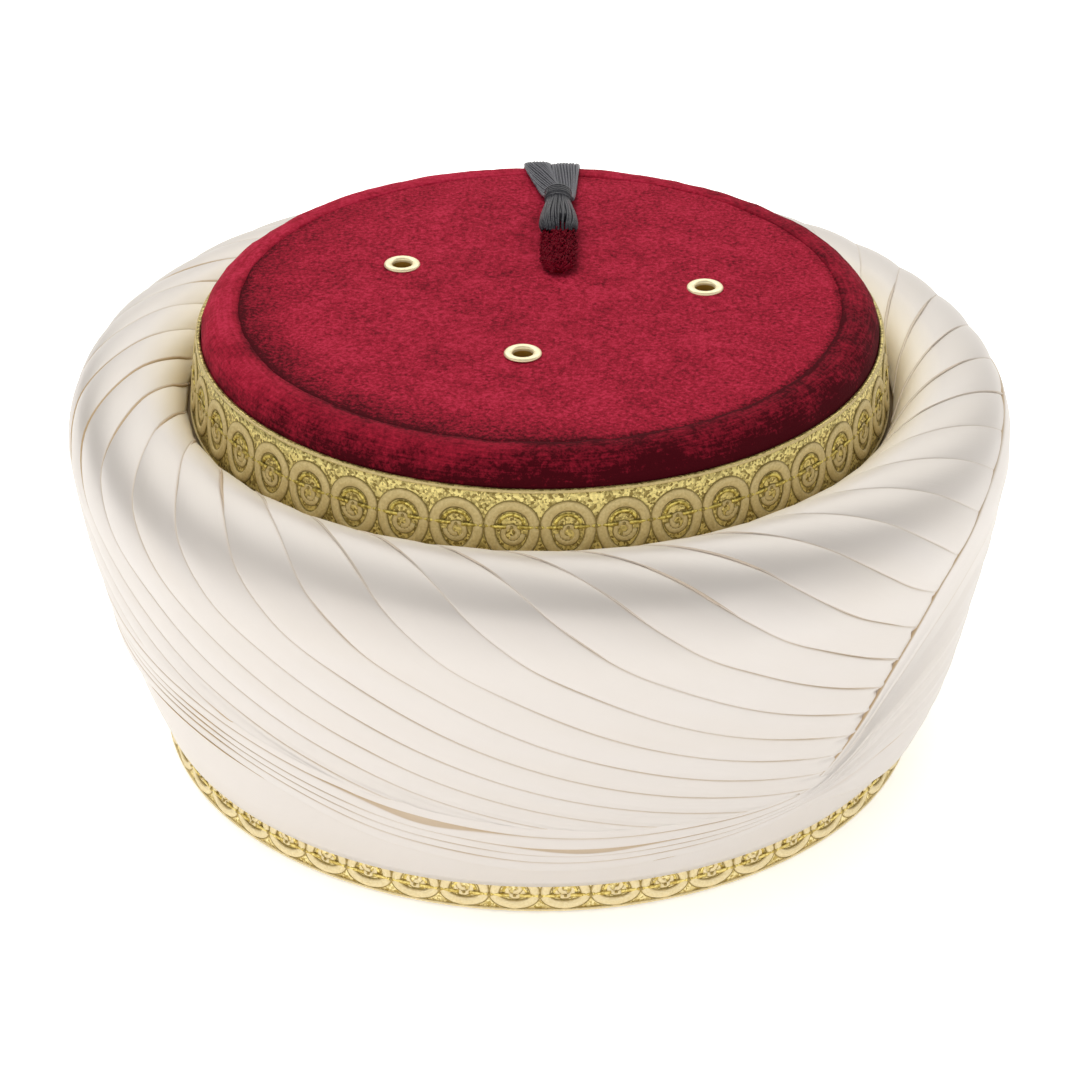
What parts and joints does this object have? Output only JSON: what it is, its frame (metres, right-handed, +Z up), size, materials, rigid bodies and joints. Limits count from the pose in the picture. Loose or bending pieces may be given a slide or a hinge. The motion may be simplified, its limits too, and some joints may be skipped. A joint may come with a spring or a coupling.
{
  "type": "turban",
  "caption": "Wound turban: crimson velvet fez with gold scroll braid, a padded wrap of pleated ivory satin, metal eyelets and a short thread tassel on top.",
  "frame": {"origin": "centre of the rim's underside, on the surface the turban stands on", "axes": "+Z up through the crown, -Y towards the front, +X to the right of the front view"},
  "size_m": [0.231, 0.2312, 0.1205],
  "materials": {
    "velvet": "crimson pile velvet",
    "gold_braid": "woven gold thread with raised scrolls",
    "satin": "ivory satin, pleated",
    "eyelet_metal": "polished gold-coloured metal",
    "tassel_thread": "charcoal thread",
    "tassel_fringe": "dark crimson fringe"
  },
  "bodies": {
    "root": {"crown_wall": "velvet", "crown_top": "velvet", "eyelet_left": "eyelet_metal", "eyelet_front": "eyelet_metal", "eyelet_right": "eyelet_metal", "crown_braid": "gold_braid", "rim_braid": "gold_braid", "wrap_roll": "satin", "wrap_fan": "satin", "wrap_sash": "satin", "tassel_head": "tassel_thread", "tassel_fringe": "tassel_fringe"}
  },
  "joints": []
}
